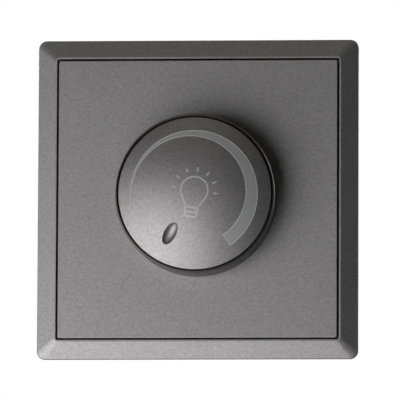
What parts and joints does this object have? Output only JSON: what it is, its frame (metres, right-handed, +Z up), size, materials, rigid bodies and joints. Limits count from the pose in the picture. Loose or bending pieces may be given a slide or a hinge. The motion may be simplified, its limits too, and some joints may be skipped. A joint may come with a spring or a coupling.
{
  "type": "rotary dimmer switch",
  "caption": "Flush wall dimmer: square bevelled frame and centre plate, round push-on knob with a domed cap and marker dimple, metal support plate and module for the wall box.",
  "frame": {"origin": "middle of the wall plane, midway between the two wall screw slots, on the knob's axis", "axes": "+X to the right and +Z up as seen from the room, +Y into the wall; the knob faces -Y"},
  "size_m": [0.086, 0.0533, 0.086],
  "materials": {
    "frame_paint": "metallic graphite lacquer on moulded plastic, satin with a fine grain",
    "panel_paint": "metallic graphite lacquer on moulded plastic, satin with a fine grain",
    "knob_paint": "metallic graphite lacquer on moulded plastic, satin",
    "cap_paint": "metallic graphite lacquer with pale printed scale and lamp sign",
    "zinc_steel": "zinc plated steel sheet",
    "screw_steel": "zinc plated steel",
    "spring_steel": "bright spring steel",
    "brass": "bare brass",
    "tinned_brass": "tinned brass",
    "die_cast": "zinc die casting, as cast",
    "aluminium": "rolled aluminium sheet",
    "housing_plastic": "light grey flame resistant plastic, fine eroded texture",
    "terminal_plastic": "black flame resistant plastic",
    "black_plastic": "black moulded plastic",
    "board_laminate": "paper laminate circuit board",
    "track_laminate": "phenolic wafer with a carbon track",
    "insulator_film": "thin mica sheet",
    "ferrite": "pressed iron powder with a coat of paint",
    "copper_wire": "enamelled copper wire",
    "film_case": "yellow moulded case",
    "timing_case": "dark red dipped case",
    "resistor_body": "lacquered ceramic body",
    "diode_body": "blue moulded body",
    "glass": "clear glass tube"
  },
  "bodies": {
    "base": {"outer_frame": "frame_paint", "centre_plate": "panel_paint", "bushing_washer": "screw_steel", "bushing_nut": "screw_steel", "mounting_plate": "zinc_steel", "module_housing": "housing_plastic", "housing_screws": "screw_steel", "threaded_bushing": "die_cast", "potentiometer_can": "zinc_steel", "resistance_track": "track_laminate", "track_pins": "tinned_brass", "rotary_switch_case": "black_plastic", "switch_blades": "tinned_brass", "circuit_board": "board_laminate", "heat_spreader": "aluminium", "triac_insulator": "insulator_film", "triac": "black_plastic", "triac_screw": "screw_steel", "choke_core": "ferrite", "choke_winding": "copper_wire", "film_capacitor": "film_case", "timing_capacitor": "timing_case", "resistors": "resistor_body", "trigger_diode": "diode_body", "fuse_tube": "glass", "fuse_caps": "tinned_brass", "fuse_clips": "tinned_brass", "terminal_block": "terminal_plastic", "terminal_clamps": "brass", "terminal_screws": "screw_steel"},
    "knob": {"knob_body": "knob_paint", "knob_cap": "cap_paint", "knob_retaining_spring": "spring_steel", "potentiometer_shaft": "aluminium", "wiper_carrier": "black_plastic", "wiper_contact": "brass"}
  },
  "joints": [
    {"name": "knob_turn", "type": "hinge", "parent": "base", "child": "knob", "pos_m": [0, -0.0137, 0], "axis": [0, 1, 0], "range_deg": [-9, 291]}
  ]
}
